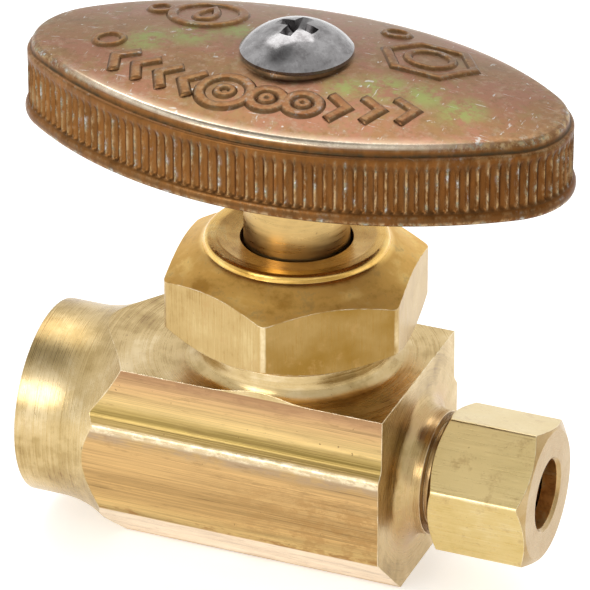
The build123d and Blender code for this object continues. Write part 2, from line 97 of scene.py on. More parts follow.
class Material:
    """A node material built up by small calls. A value may be a number, a colour or a socket."""

    def __init__(self, name):
        self.material = bpy.data.materials.new(name)
        self.material.use_nodes = True
        self.tree = self.material.node_tree
        self.tree.nodes.clear()
        self.shader = self.tree.nodes.new("ShaderNodeBsdfPrincipled")
        out = self.tree.nodes.new("ShaderNodeOutputMaterial")
        self.tree.links.new(self.shader.outputs["BSDF"], out.inputs["Surface"])
        self.place = self.tree.nodes.new("ShaderNodeTexCoord").outputs["Object"]

    def put(self, socket, value):
        if isinstance(value, bpy.types.NodeSocket):
            self.tree.links.new(value, socket)
        elif isinstance(value, (tuple, list)) and len(value) == 3 and len(socket.default_value) == 4:
            socket.default_value = (*value, 1)
        else:
            socket.default_value = value

    def node(self, kind, inputs=None, **settings):
        node = self.tree.nodes.new("ShaderNode" + kind)
        for key, value in settings.items():
            setattr(node, key, value)
        for key, value in (inputs or {}).items():
            self.put(node.inputs[key], value)
        return node

    def math(self, operation, a, b=0.0, clamp=False):
        node = self.node("Math", {0: a, 1: b}, operation=operation, use_clamp=clamp)
        return node.outputs[0]

    def times(self, a, b, clamp=False):
        return self.math("MULTIPLY", a, b, clamp)

    def length(self, u, v):
        return self.math("SQRT", self.math("ADD", self.times(u, u), self.times(v, v)))

    def dot(self, a, b):
        return self.node("VectorMath", {0: a, 1: b}, operation="DOT_PRODUCT").outputs["Value"]

    def xyz(self, vector=None):
        return self.node("SeparateXYZ", {0: vector or self.place}).outputs

    def vector(self, x, y, z):
        return self.node("CombineXYZ", {0: x, 1: y, 2: z}).outputs[0]

    def place_from(self, centre):
        return self.node("VectorMath", {0: self.place, 1: centre}, operation="SUBTRACT").outputs[0]

    def stretch(self, scale, shift=(0, 0, 0)):
        """Coordinates for a texture, drawn out where the scale is small."""
        return self.node("Mapping", {"Vector": self.place, "Scale": scale, "Location": shift}).outputs[0]

    def attribute(self, name):
        return self.node("Attribute", attribute_name=name).outputs["Fac"]

    def noise(self, vector, scale=1.0, detail=3.0, roughness=0.55, distortion=0.0):
        inputs = {"Vector": vector, "Scale": scale, "Detail": detail, "Roughness": roughness,
                  "Distortion": distortion}
        return self.node("TexNoise", inputs).outputs["Fac"]

    def ramp(self, value, stops, smooth=True):
        node = self.node("ValToRGB", {"Fac": value})
        node.color_ramp.interpolation = "EASE" if smooth else "LINEAR"
        elements = node.color_ramp.elements
        while len(elements) < len(stops):
            elements.new(0.5)
        for element, (position, colour) in zip(elements, stops):
            element.position = position
            element.color = (*colour, 1) if isinstance(colour, tuple) else (colour, colour, colour, 1)
        return node.outputs["Color"]

    def step(self, value, low, high):
        """0 below low, 1 above high, smooth between. With low above high it falls instead."""
        inputs = {"Value": value, "From Min": low, "From Max": high}
        return self.node("MapRange", inputs, interpolation_type="SMOOTHSTEP").outputs[0]

    def band(self, value, start, full, fade, end):
        """0 outside start and end, 1 between full and fade."""
        return self.times(self.step(value, start, full), self.step(value, end, fade))

    def span(self, value, low, high, to_low, to_high):
        inputs = {"Value": value, "From Min": low, "From Max": high, "To Min": to_low, "To Max": to_high}
        return self.node("MapRange", inputs).outputs[0]

    def mix(self, factor, a, b, blend="MIX"):
        node = self.node("Mix", {"Factor": factor}, data_type="RGBA", blend_type=blend)
        self.put(node.inputs[6], a)
        self.put(node.inputs[7], b)
        return node.outputs[2]

    def blend(self, factor, a, b):
        node = self.node("Mix", {0: factor}, data_type="FLOAT")
        self.put(node.inputs[2], a)
        self.put(node.inputs[3], b)
        return node.outputs[0]

    def bump(self, height, depth, normal=None):
        inputs = {"Height": height, "Distance": depth, "Strength": 1.0}
        if normal:
            inputs["Normal"] = normal
        return self.node("Bump", inputs).outputs[0]

    def edge(self, radius):
        """1 on sharp edges, 0 away from them, and the rounded normal that shows them."""
        round_normal = self.node("Bevel", {"Radius": radius}, samples=6).outputs[0]
        true_normal = self.node("NewGeometry").outputs["Normal"]
        return self.step(self.dot(round_normal, true_normal), 0.995, 0.9), round_normal

    def turned(self, axis, centre=(0, 0, 0), around=1.0, fine=1.0):
        """Coordinates for marks that run round an axis: fine across it, drawn out round it."""
        x, y, z = self.xyz(self.place_from(centre))
        u, v, w = (y, z, x) if axis == "x" else (x, y, z)
        radius = self.length(u, v)
        no_zero = self.math("ADD", radius, 1e-6)
        cosine, sine = self.math("DIVIDE", u, no_zero), self.math("DIVIDE", v, no_zero)
        across = self.times(self.math("ADD", radius, w), fine)
        return self.vector(self.times(cosine, around), self.times(sine, around), across)

    def finish(self, colour, roughness, metallic=1.0, normal=None, **plain):
        self.put(self.shader.inputs["Base Color"], colour)
        self.put(self.shader.inputs["Roughness"], roughness)
        self.put(self.shader.inputs["Metallic"], metallic)
        if normal:
            self.put(self.shader.inputs["Normal"], normal)
        for name, value in plain.items():
            self.shader.inputs[name.replace("_", " ")].default_value = value
        return self.material


def turned_faces(m, x, z, radius):
    """Masks on the body: all its turned faces, the deck alone, and the outlet end alone."""
    # the sweep that leads from the socket up to the block cuts into the bar
    reach = m.math("MAXIMUM", m.math("SUBTRACT", x, FLARE_X), 0.0)
    depth = m.math("SUBTRACT", FLARE_R ** 2, m.times(reach, reach))
    sweep = m.math("SQRT", m.math("MAXIMUM", depth, 0))
    cut_r = m.math("SUBTRACT", INLET_R + FLARE_R - SKIN, sweep)
    before_block = m.math("LESS_THAN", x, FLARE_X + FLARE_R - 0.01 * MM)
    flare = m.times(m.math("GREATER_THAN", radius, cut_r), before_block)
    inlet = m.math("MAXIMUM", flare, m.math("LESS_THAN", radius, INLET_R + SKIN))
    deck = m.math("GREATER_THAN", z, DECK_Z - SKIN / 2)
    end = m.math("GREATER_THAN", x, END_X - SKIN / 2)
    return m.math("MAXIMUM", m.math("MAXIMUM", inlet, deck), end), deck, end


def drawn_bar(m, x, z, fine, coarse):
    """Colour of the drawn bar stock: bands along it by height, painted reflections that are partly tarnish, each
    broken up by patches.
    """
    patch = m.noise(m.stretch((170, 480, 480), shift=(8, 2, 1)), detail=6, roughness=0.72)
    sway = m.times(m.math("SUBTRACT", m.blend(0.6, coarse, patch), 0.5), 2.2 * MM)
    height = m.span(m.math("ADD", z, sway), BODY_BOTTOM, DECK_Z, 0, 1)
    reflection_and_tarnish_bands = m.ramp(height, [
        (0.00, (0.66, 0.45, 0.20)), (0.30, (0.66, 0.45, 0.18)), (0.36, (0.60, 0.38, 0.15)),
        (0.44, (0.53, 0.33, 0.13)), (0.52, (0.63, 0.40, 0.165)), (0.62, (0.60, 0.38, 0.16)),
        (0.70, (0.55, 0.38, 0.17)), (0.76, (0.56, 0.40, 0.13)), (0.83, (0.70, 0.50, 0.21)),
        (0.90, (0.66, 0.43, 0.19)), (0.96, (0.55, 0.33, 0.16)), (1.0, (0.44, 0.25, 0.12))], smooth=False)
    streak = m.ramp(m.blend(0.35, fine, coarse), [(0.36, 0.43), (0.45, 0.79), (0.55, 0.98), (0.64, 1.16)])
    bar = m.mix(1.0, reflection_and_tarnish_bands, streak, "MULTIPLY")

    # from here the bands stand at heights in millimetres, with wavering edges
    wobble = m.times(m.math("SUBTRACT", patch, 0.5), 0.5 * MM)
    level = m.times(m.math("ADD", z, wobble), 1 / MM)
    # the ridge: a grey-pink scuffed band, a bright line over it that is wear and a painted highlight, and over that
    # a dark band with drawn lines, painted shade in the concave fillet
    scuffed = m.times(m.band(level, 1.9, 2.8, 3.2, 3.6), m.step(patch, 0.40, 0.58))
    bar = m.mix(m.times(scuffed, 0.75), bar, (0.40, 0.29, 0.19))
    speck = m.step(m.noise(m.stretch((900, 1800, 1800), shift=(1, 6, 2)), detail=5, roughness=0.7), 0.46, 0.60)
    worn = m.times(m.band(level, 3.0, 3.35, 3.85, 4.05), m.span(speck, 0, 1, 0.45, 0.95))
    bar = m.mix(worn, bar, (0.88, 0.74, 0.50))
    # painted shade: a dark band with drawn lines in the concave fillet above the ridge
    line = m.noise(m.stretch((40, 6000, 6000), shift=(4, 4, 9)), detail=3)
    fillet_shade_lines = m.times(m.band(level, 3.95, 4.15, 4.8, 6.0), m.span(line, 0.35, 0.60, 0.95, 0.25))
    bar = m.mix(fillet_shade_lines, bar, (0.20, 0.135, 0.035))
    # the sloping lower face is painted pale, a painted reflection of the floor, with a rusty line along its upper
    # edge
    floor_reflection = m.ramp(m.blend(0.5, fine, patch), [
        (0.38, (0.62, 0.48, 0.34)), (0.5, (0.88, 0.74, 0.56)), (0.62, (0.98, 0.86, 0.70))])
    bar = m.mix(m.times(m.band(level, -10.6, -10.2, -5.25, -5.0), 0.9), bar, floor_reflection)
    spots = m.step(m.noise(m.stretch((420, 1500, 1500), shift=(7, 7, 2)), detail=6, roughness=0.72), 0.48, 0.60)
    rusty = m.times(m.band(level, -5.15, -5.0, -4.8, -4.2), spots)
    bar = m.mix(m.times(rusty, 0.8), bar, (0.34, 0.17, 0.06))
    # the top edge is tarnished, and an orange-brown bloom mottles the lower half towards the outlet
    tarnished = m.times(m.step(level, 8.3, 9.5), m.span(spots, 0, 1, 0.25, 0.85))
    bar = m.mix(tarnished, bar, (0.36, 0.20, 0.10))
    mottle = m.step(m.noise(m.stretch((620, 900, 900), shift=(5, 5, 1)), detail=7, roughness=0.78), 0.46, 0.58)
    bloom = m.times(m.step(x, 16 * MM, 34 * MM), m.band(level, -5.25, -5.0, 0.0, 1.8))
    bar = m.mix(m.times(m.times(bloom, mottle), 0.55), bar, (0.40, 0.22, 0.075))
    dark_tone = m.step(m.noise(m.stretch((240, 1700, 1700), shift=(2, 9, 4)), detail=6, roughness=0.75), 0.54, 0.68)
    return m.mix(m.times(dark_tone, 0.40), bar, (0.24, 0.15, 0.06))


def brass_body():
    """Drawn bar stock along the block's sides, turned faces on the inlet, the deck and the outlet end."""
    m = Material("brass_body")
    x, y, z = m.xyz()
    radius = m.length(y, z)
    is_turned, deck, end = turned_faces(m, x, z, radius)
    fine = m.noise(m.stretch((70, 7500, 7500)), detail=5, roughness=0.7)
    coarse = m.noise(m.stretch((26, 1100, 1100), shift=(3, 1, 7)), detail=4)
    lathe_x = m.noise(m.turned("x", around=1.6, fine=8000), detail=5, roughness=0.65)
    lathe_z = m.noise(m.turned("z", (STEM_X, 0, 0), around=1.4, fine=5200), detail=5, roughness=0.65)
    lathe = m.blend(deck, lathe_x, lathe_z)
    blotch = m.noise(m.place, scale=160, detail=6, roughness=0.65)
    lathe_colour = m.ramp(m.blend(0.72, lathe, blotch), [
        (0.34, (0.29, 0.18, 0.070)), (0.42, (0.44, 0.31, 0.13)), (0.50, (0.57, 0.42, 0.20)),
        (0.62, (0.71, 0.56, 0.32))])
    colour = m.mix(is_turned, drawn_bar(m, x, z, fine, coarse), lathe_colour)
    # painted shade: patchy brown darkening where the end face sweeps into the spigot
    hollow = m.step(radius, 9.6 * MM, 7.0 * MM)
    sweep_shade = m.times(m.times(hollow, end), m.step(blotch, 0.40, 0.62))
    colour = m.mix(m.times(sweep_shade, 0.6), colour, (0.42, 0.23, 0.09))
    # stains and pits all over, and edges knocked bright all over, the brightening partly a painted highlight
    stain = m.step(m.noise(m.place, scale=420, detail=6, roughness=0.7), 0.60, 0.78)
    colour = m.mix(m.times(stain, 0.55), colour, (0.36, 0.21, 0.09))
    pits = m.step(m.noise(m.place, scale=2200, detail=2), 0.72, 0.79)
    colour = m.mix(m.times(pits, 0.7), colour, (0.16, 0.09, 0.04))
    edge, rounded = m.edge(0.14 * MM)
    knocks = m.noise(m.place, scale=900, detail=4)
    worn_and_lit_edge = m.times(edge, m.span(knocks, 0.42, 0.58, 0.25, 0.95))
    colour = m.mix(worn_and_lit_edge, colour, (0.95, 0.84, 0.62))
    rough = m.blend(is_turned, m.span(fine, 0.3, 0.7, 0.30, 0.46), m.span(lathe, 0.3, 0.7, 0.22, 0.36))
    marks = m.blend(is_turned, fine, lathe)
    return m.finish(colour, rough, normal=m.bump(marks, 0.02 * MM, rounded))


def brass_nut(name, centre, axis, corner_r, turned_tones, side_tones, brush_along, dish_r, rough_out,
              facing_light_and_shade, dark_tone):
    """Turned ends and brushed flats, with a painted highlight on the corners beyond corner_r. Tones go from dark to
    light.
    The ends are smooth and are darkened inside dish_r, and have the roughness rough_out beyond it.
    The facing tints are (direction, colour, strength): painted light and shade on the faces turned towards
    direction."""
    m = Material(name)
    low, mid, high = turned_tones
    side_low, side_mid, side_high = side_tones
    lathe = m.noise(m.turned(axis, centre, around=1.5, fine=3000), detail=4)
    brush = m.noise(m.stretch(brush_along), detail=4, roughness=0.7)
    facing = m.node("TexCoord").outputs["Normal"]
    nx, _, nz = m.xyz(facing)
    along = nz if axis == "z" else nx
    side = m.math("LESS_THAN", m.math("ABSOLUTE", along), 0.15)
    px, py, pz = m.xyz(m.place_from(centre))
    out = m.length(px, py) if axis == "z" else m.length(py, pz)
    blotch = m.noise(m.place, scale=260, detail=7, roughness=0.68)
    turned_colour = m.ramp(m.blend(0.7, lathe, blotch), [(0.34, low), (0.50, mid), (0.66, high)])
    brushed_colour = m.ramp(m.blend(0.55, brush, blotch), [(0.36, side_low), (0.5, side_mid), (0.64, side_high)])
    colour = m.mix(side, turned_colour, brushed_colour)
    cloud = m.noise(m.place, scale=150, detail=4)
    # painted light and shade: faces turned towards each direction take that entry's colour, broken up by noise
    for direction, tint, strength in facing_light_and_shade:
        towards = m.step(m.dot(facing, direction), 0.90, 0.98)
        share = m.times(towards, m.span(cloud, 0.35, 0.6, 0.6 * strength, strength))
        colour = m.mix(share, colour, tint)
    # a patchy painted highlight along the corners; edges brightened with wear and a painted highlight, and nicked
    sheen_and_rub = m.times(m.step(out, corner_r - 0.04 * MM, corner_r), m.span(blotch, 0.42, 0.60, 0.0, 0.6))
    colour = m.mix(sheen_and_rub, colour, (0.86, 0.72, 0.46))
    edge, rounded = m.edge(0.13 * MM)
    knocks = m.noise(m.place, scale=1100, detail=4)
    worn_and_lit_edge = m.times(edge, m.span(knocks, 0.42, 0.58, 0.2, 0.95))
    colour = m.mix(worn_and_lit_edge, colour, (0.97, 0.88, 0.66))
    nicked = m.times(edge, m.step(knocks, 0.44, 0.38))
    colour = m.mix(m.times(nicked, 0.7), colour, (0.36, 0.22, 0.09))
    # brown spots on the flats, and the wall inside the opening coloured a brighter orange, painted light in the
    # opening
    rust = m.step(m.noise(m.place, scale=520, detail=7, roughness=0.75), 0.53, 0.66)
    colour = m.mix(m.times(rust, 0.42), colour, (0.44, 0.26, 0.09))
    inside = m.times(side, m.step(out, 5.5 * MM, 5.0 * MM))
    inside_colour = m.ramp(blotch, [
        (0.38, (0.55, 0.25, 0.060)), (0.50, (0.90, 0.52, 0.17)), (0.60, (0.97, 0.74, 0.36))])
    colour = m.mix(m.times(inside, 0.85), colour, inside_colour)
    pits = m.step(m.noise(m.place, scale=2400, detail=2), 0.70, 0.78)
    colour = m.mix(m.times(pits, 0.5), colour, (0.35, 0.2, 0.08))
    dish = m.times(m.step(out, dish_r - 0.9 * MM, dish_r - 1.6 * MM), m.math("SUBTRACT", 1.0, side))
    colour = m.mix(m.times(dish, m.span(blotch, 0.35, 0.6, 0.75, 0.35)), colour, dark_tone)
    beyond_dish = m.step(out, dish_r, dish_r + 0.5 * MM)
    turned = m.times(m.blend(beyond_dish, 0.26, rough_out), m.span(lathe, 0.3, 0.7, 0.85, 1.15))
    rough = m.blend(side, turned, m.span(brush, 0.3, 0.7, 0.24, 0.40))
    marks = m.blend(side, lathe, brush)
    return m.finish(colour, rough, normal=m.bump(marks, 0.008 * MM, rounded))


def brass_plain(name, colour, centre=(0, 0, 0), axis="x", roughness=0.25):
    """Turned brass without flats, for the stem and the rings."""
    m = Material(name)
    lathe = m.noise(m.turned(axis, centre, around=1.0, fine=2600), detail=4)
    blotch = m.noise(m.place, scale=300, detail=4)
    dark = tuple(0.72 * part for part in colour)
    tint = m.ramp(m.blend(0.5, lathe, blotch), [(0.32, dark), (0.55, colour)])
    pits = m.step(m.noise(m.place, scale=2600, detail=2), 0.68, 0.76)
    tint = m.mix(m.times(pits, 0.6), tint, (0.25, 0.14, 0.06))
    rough = m.span(lathe, 0.3, 0.7, roughness * 0.7, roughness * 1.3)
    return m.finish(tint, rough, normal=m.bump(lathe, 0.004 * MM))


def rubber():
    m = Material("black_rubber")
    grain = m.noise(m.place, scale=1800, detail=5, roughness=0.7)
    dust = m.noise(m.place, scale=350, detail=3)
    colour = m.ramp(dust, [(0.3, (0.012, 0.012, 0.013)), (0.7, (0.035, 0.034, 0.033))])
    return m.finish(colour, m.span(grain, 0.3, 0.7, 0.55, 0.8), 0.0, m.bump(grain, 0.02 * MM))


def screw_steel():
    m = Material("screw_steel")
    marks = m.noise(m.turned("z", (STEM_X, 0, 0), around=1.5, fine=2600), detail=3)
    smear = m.noise(m.place, scale=800, detail=7, roughness=0.7)
    colour = m.ramp(smear, [(0.36, (0.20, 0.19, 0.19)), (0.5, (0.29, 0.28, 0.28)), (0.64, (0.37, 0.36, 0.36))])
    specks = m.step(m.noise(m.place, scale=2600, detail=2), 0.68, 0.74)
    colour = m.mix(m.times(specks, 0.5), colour, (0.10, 0.09, 0.09))
    return m.finish(colour, m.span(marks, 0.3, 0.7, 0.12, 0.24), normal=m.bump(marks, 0.003 * MM))


# what each point of the handle's skin carries: bare metal, share of the top's look, darkening, most of it painted
# shade, and polish with a painted highlight
SKIN_LAYERS = ("wear", "top", "dark", "polish")
# soft green patches on the handle's top: x and y from the stem axis, and radius, in millimetres
GREEN_PATCHES = [
    (-14.2, -1.2, 3.4), (-10.4, 0.8, 3.6), (-6.8, 2.6, 2.6), (6.4, -4.2, 2.6), (9.6, -3.0, 3.4),
    (13.4, -2.6, 3.0), (17.2, -3.4, 3.4)]


def bronze_plate():
    """Worn bronze plating: brown in the hollows, mottled pink and green on top, bare metal on what stands out."""
    m = Material("bronze_plate")
    x, y, _ = m.xyz()
    wear, top, dark, polish = (m.attribute(name) for name in SKIN_LAYERS)
    # the side: brown, redder towards the outlet end, and darker where the dark layer lies
    along = m.span(x, HANDLE_LOW.x, HANDLE_HIGH.x, 0, 1)
    side = m.mix(m.step(along, 0.35, 0.95), (0.205, 0.084, 0.021), (0.140, 0.052, 0.011))
    grain = m.noise(m.stretch((700, 700, 260)), detail=6, roughness=0.7)
    side = m.mix(1.0, side, m.ramp(grain, [(0.34, 0.72), (0.5, 1.0), (0.66, 1.30)]), "MULTIPLY")
    # the top: fine mottling over a slow drift from brown to pink
    drift = m.noise(m.place, scale=130, detail=4, roughness=0.6, distortion=0.4)
    base = m.ramp(drift, [
        (0.32, (0.200, 0.108, 0.048)), (0.46, (0.245, 0.124, 0.055)), (0.56, (0.265, 0.122, 0.070)),
        (0.68, (0.220, 0.120, 0.050))])
    fine_a = m.noise(m.place, scale=1100, detail=7, roughness=0.75)
    fine_b = m.noise(m.stretch((1500, 1500, 1500), shift=(4, 4, 4)), detail=6, roughness=0.75)
    base = m.mix(m.times(m.step(fine_a, 0.50, 0.64), 0.55), base, (0.33, 0.235, 0.155))
    base = m.mix(m.times(m.step(fine_b, 0.52, 0.64), 0.5), base, (0.155, 0.088, 0.034))
    olive = m.step(m.noise(m.stretch((520, 520, 520), shift=(7, 1, 3)), detail=7, roughness=0.75), 0.50, 0.62)
    base = m.mix(m.times(olive, 0.36), base, (0.215, 0.165, 0.062))
    green = 0.0
    flat = m.vector(x, y, 0.0)
    for px, py, reach in GREEN_PATCHES:
        away = m.node("VectorMath", {0: flat, 1: (STEM_X + px * MM, py * MM, 0)},
                      operation="DISTANCE").outputs["Value"]
        green = m.math("MAXIMUM", green, m.step(away, reach * MM, 0.2 * reach * MM))
    torn = m.step(m.noise(m.stretch((420, 420, 420), shift=(1, 8, 2)), detail=7, roughness=0.75), 0.38, 0.56)
    green = m.times(m.times(green, torn), 0.92)
    base = m.mix(green, base, (0.225, 0.255, 0.075))
    colour = m.mix(top, side, base)
    # scratches through the plating, in short strokes
    strokes = 0.0
    for scale, shift, low in (
            ((260, 2600, 900), (1, 2, 3), 0.66), ((2300, 520, 900), (5, 2, 8), 0.66),
            ((900, 900, 900), (3, 3, 3), 0.665)):
        mark = m.step(m.noise(m.stretch(scale, shift=shift), detail=5, roughness=0.6), low, low + 0.035)
        strokes = m.math("MAXIMUM", strokes, mark)
    colour = m.mix(m.times(m.times(strokes, top), 0.7), colour, (0.46, 0.45, 0.42))
    # bare metal and verdigris along what stands out
    flecks = m.step(m.noise(m.stretch((1500, 1500, 700), shift=(6, 6, 6)), detail=6, roughness=0.75), 0.42, 0.60)
    bare = m.times(wear, flecks, clamp=True)
    tone = m.noise(m.stretch((600, 600, 600), shift=(2, 2, 9)), detail=5, roughness=0.7)
    bare_colour = m.ramp(tone, [
        (0.42, (0.42, 0.27, 0.12)), (0.51, (0.50, 0.36, 0.20)), (0.56, (0.28, 0.28, 0.18)),
        (0.64, (0.60, 0.62, 0.60))])
    colour = m.mix(bare, colour, bare_colour)
    # the dark layer darkens, broken up by noise: painted shade in the creases round the boss and under the rolled
    # edge, on the flute spandrels and feet, and at the strokes' feet; it also darkens the bead and the ends of the
    # rolled edge
    darkening = m.step(m.noise(m.stretch((800, 800, 800), shift=(9, 1, 1)), detail=5, roughness=0.7), 0.38, 0.62)
    shade = m.times(dark, m.span(darkening, 0, 1, 0.40, 0.90), clamp=True)
    colour = m.mix(shade, colour, (0.060, 0.045, 0.024))
    # the long front and back edges are polished clean and painted near white there, a painted highlight
    colour = m.mix(m.times(polish, m.span(fine_a, 0.35, 0.6, 1.0, 0.6)), colour, (0.92, 0.80, 0.62))
    rough = m.blend(top, m.span(grain, 0.3, 0.7, 0.34, 0.5), m.span(fine_a, 0.3, 0.7, 0.30, 0.44))
    rough = m.blend(polish, rough, 0.16)
    normal = m.bump(m.noise(m.place, scale=1500, detail=5, roughness=0.65), 0.012 * MM)
    return m.finish(colour, rough, 0.96, normal)


# ---------------------------------------------------------------- handle

def oval(share):
    """Points of the handle's four-arc oval at shares 0..1 of the way round, and the outward normals there."""
    a, b, tip = OVAL_A, OVAL_B, OVAL_TIP
    side = ((a - tip) ** 2 + b ** 2 - tip ** 2) / (2 * (b - tip))
    half = math.atan2(a - tip, side - b)
    lengths = [side * half, tip * (math.pi / 2 - half)]
    quarter = sum(lengths)
    s = np.asarray(share) * 4 * quarter
    turn = np.floor(s / quarter).astype(int) % 4
    along = s - np.floor(s / quarter) * quarter
    mirrored = (turn % 2) == 1
    along = np.where(mirrored, quarter - along, along)
    on_side = along < lengths[0]
    angle = np.where(on_side, along / side, half + (along - lengths[0]) / tip)
    x = np.where(on_side, side * np.sin(angle), (a - tip) + tip * np.sin(angle))
    y = np.where(on_side, side * np.cos(angle) - (side - b), tip * np.cos(angle))
    nx, ny = np.sin(angle), np.cos(angle)
    sx = np.where((turn == 1) | (turn == 0), 1, -1)
    sy = np.where((turn == 0) | (turn == 3), 1, -1)
    return np.stack([x * sx, y * sy], 1), np.stack([nx * sx, ny * sy], 1)


def crown(x, y, drop=0.0):
    """Height of the handle's crowned top, or of a surface that lies drop below it, over x, y from the stem axis."""
    along, across = CROWN_RX - drop, CROWN_RY - drop
    top = CROWN_Z - drop
    ring = along - across + np.sqrt(np.maximum(across ** 2 - y ** 2, 0))
    return top - along + np.sqrt(np.maximum(ring ** 2 - x ** 2, 0))


def mesh_object(name, verts, faces, material, smooth=True):
    mesh = bpy.data.meshes.new(name)
    mesh.from_pydata([tuple(v) for v in verts], [], faces)
    mesh.update()
    if smooth:
        mesh.polygons.foreach_set("use_smooth", [True] * len(mesh.polygons))
    obj = bpy.data.objects.new(name, mesh)
    bpy.context.scene.collection.objects.link(obj)
    mesh.materials.append(material)
    return obj


def face_outwards(obj):
    bm = bmesh.new()
    bm.from_mesh(obj.data)
    bmesh.ops.recalc_face_normals(bm, faces=bm.faces)
    bm.to_mesh(obj.data)
    bm.free()


def ring_faces(first, second, count):
    return [(first + i, first + (i + 1) % count, second + (i + 1) % count, second + i) for i in range(count)]


def tube_faces(first, rows, wide, closed=False):
    """Faces of a tube of equal sections laid one after another, capped unless it closes on itself."""
    faces = []
    for row in range(rows if closed else rows - 1):
        a, b = first + row * wide, first + (row + 1) % rows * wide
        faces += [(a + i, b + i, b + (i + 1) % wide, a + (i + 1) % wide) for i in range(wide)]
    if not closed:
        faces.append(tuple(first + i for i in range(wide)))
        faces.append(tuple(first + (rows - 1) * wide + i for i in reversed(range(wide))))
    return faces


def on_spindle(verts):
    """Turns points given about the handle's own axes to where the handle stands."""
    cosine, sine = math.cos(HANDLE_TURN), math.sin(HANDLE_TURN)
    verts = np.asarray(verts, float)
    x, y, z = verts.T
    return np.column_stack([x * cosine - y * sine + STEM_X, x * sine + y * cosine, z])


def attach(obj, **layers):
    for name, values in layers.items():
        layer = obj.data.attributes.new(name, "FLOAT", "POINT")
        layer.data.foreach_set("value", np.asarray(values, float))


class Skin:
    """A closed skin laid as rings from the hub out over the top, down the fluted rim and back underneath."""

    def __init__(self):
        self.count = FLUTES * FLUTE_STEPS
        self.outline, self.outward = oval(np.arange(self.count) / self.count)
        compass = np.arctan2(self.outline[:, 1], self.outline[:, 0])
        self.unit = np.stack([np.cos(compass), np.sin(compass)], 1)
        # 1 at the two ends, whose edges are pitted, and 0 along the sides, whose edges are polished and carry a
        # painted highlight
        self.end_on = np.clip((np.abs(self.outline[:, 0]) / OVAL_A - 0.50) / 0.3, 0, 1)
        self.rings = []
        self.layers = {name: [] for name in SKIN_LAYERS}

    def ring(self, xy, z, wear=0.0, top=0.0, dark=0.0, polish=0.0):
        self.rings.append(np.column_stack([xy, np.broadcast_to(z, self.count)]))
        for name, value in zip(SKIN_LAYERS, (wear, top, dark, polish)):
            self.layers[name].append(np.broadcast_to(value, self.count).astype(float))

    def inset(self, distance):
        return self.outline - self.outward * np.broadcast_to(distance, self.count)[:, None]

    def wall(self, distance, z, wear=0.0, top=0.0, dark=0.0, polish=0.0):
        self.ring(self.inset(distance), z, wear, top, dark, polish)

    def build(self, name, material):
        faces, total = [], len(self.rings)
        for ring in range(total):
            faces += ring_faces(ring * self.count, (ring + 1) % total * self.count, self.count)
        obj = mesh_object(name, on_spindle(np.concatenate(self.rings)), faces, material)
        attach(obj, **{layer: np.concatenate(values) for layer, values in self.layers.items()})
        return obj


def lay_top(skin):
    """The boss under the screw, the crowned top, and the rolled edge."""
    unit, end_on = skin.unit, skin.end_on
    bevel = 0.15 * MM
    skin.ring(unit * SCREW_HOLE_R, BOSS_Z, 0, 1)
    # painted shade: the boss's edge darkens down into the crease at its foot
    skin.ring(unit * (BOSS_R - bevel), BOSS_Z, 0.3, 1, 0.3)
    skin.ring(unit * BOSS_R, BOSS_Z - bevel, 0.2, 0.6, 0.6)
    foot = unit * (BOSS_R + 0.06 * MM)
    skin.ring(foot, crown(foot[:, 0], foot[:, 1]) + 0.05 * MM, 0, 0.6, 1)
    start, edge = unit * (BOSS_R + 0.3 * MM), skin.inset(LEDGE + EDGE_R)
    for out in np.linspace(0, 1, 24):
        xy = start + (edge - start) * out
        # the outermost crown brightens: wear on the ends, a painted highlight on the sides through the polish
        # layer; next to the boss the top is darkened, painted shade round the screw
        sheen_and_rub = 0.30 * max(0.0, (out - 0.93) / 0.07)
        darkening = 0.25 * max(0, 1 - 9 * out)
        skin.ring(xy, crown(xy[:, 0], xy[:, 1]), sheen_and_rub * end_on, 1, darkening, sheen_and_rub * (1 - end_on))
    for angle in np.linspace(78, 0, 8):
        turn = math.radians(angle)
        inset = LEDGE + EDGE_R * (1 - math.cos(turn))
        xy = skin.inset(inset)
        z = crown(xy[:, 0], xy[:, 1]) - EDGE_R * (1 - math.sin(turn))
        near = math.exp(-((angle - 42) / 30) ** 2)
        # on the sides the rolled edge is polished and painted near white as a highlight; on the ends it is darkened
        # away from the middle of the roll
        gloss_and_highlight = (1 - end_on) * min(1.0, max(0.0, (angle - 22) / 22))
        skin.wall(inset, z, (0.15 + 0.85 * end_on) * near, min(1.0, angle / 50), 0.25 * (1 - near) * end_on, gloss_and_highlight)


def lay_ledge(skin):
    """The step from the rolled edge out to the rim. Gives the ledge's height round the outline."""
    end_on = skin.end_on
    ledge_z = crown(skin.outline[:, 0], skin.outline[:, 1]) - LEDGE_DROP
    # painted shade: the crease under the rolled edge is darkened to a dark line
    skin.wall(LEDGE, ledge_z + 0.10 * MM, 0, 0, 1)
    skin.wall(LEDGE - 0.06 * MM, ledge_z + 0.02 * MM, 0, 0, 1)
    skin.wall(0.20 * MM, ledge_z - 0.02 * MM, 0.25 * end_on, 0.35)
    skin.wall(0.06 * MM, ledge_z - 0.08 * MM, 0.45 * end_on, 0.2)
    skin.wall(0.0, ledge_z - 0.22 * MM, 0.2 * end_on)
    return ledge_z


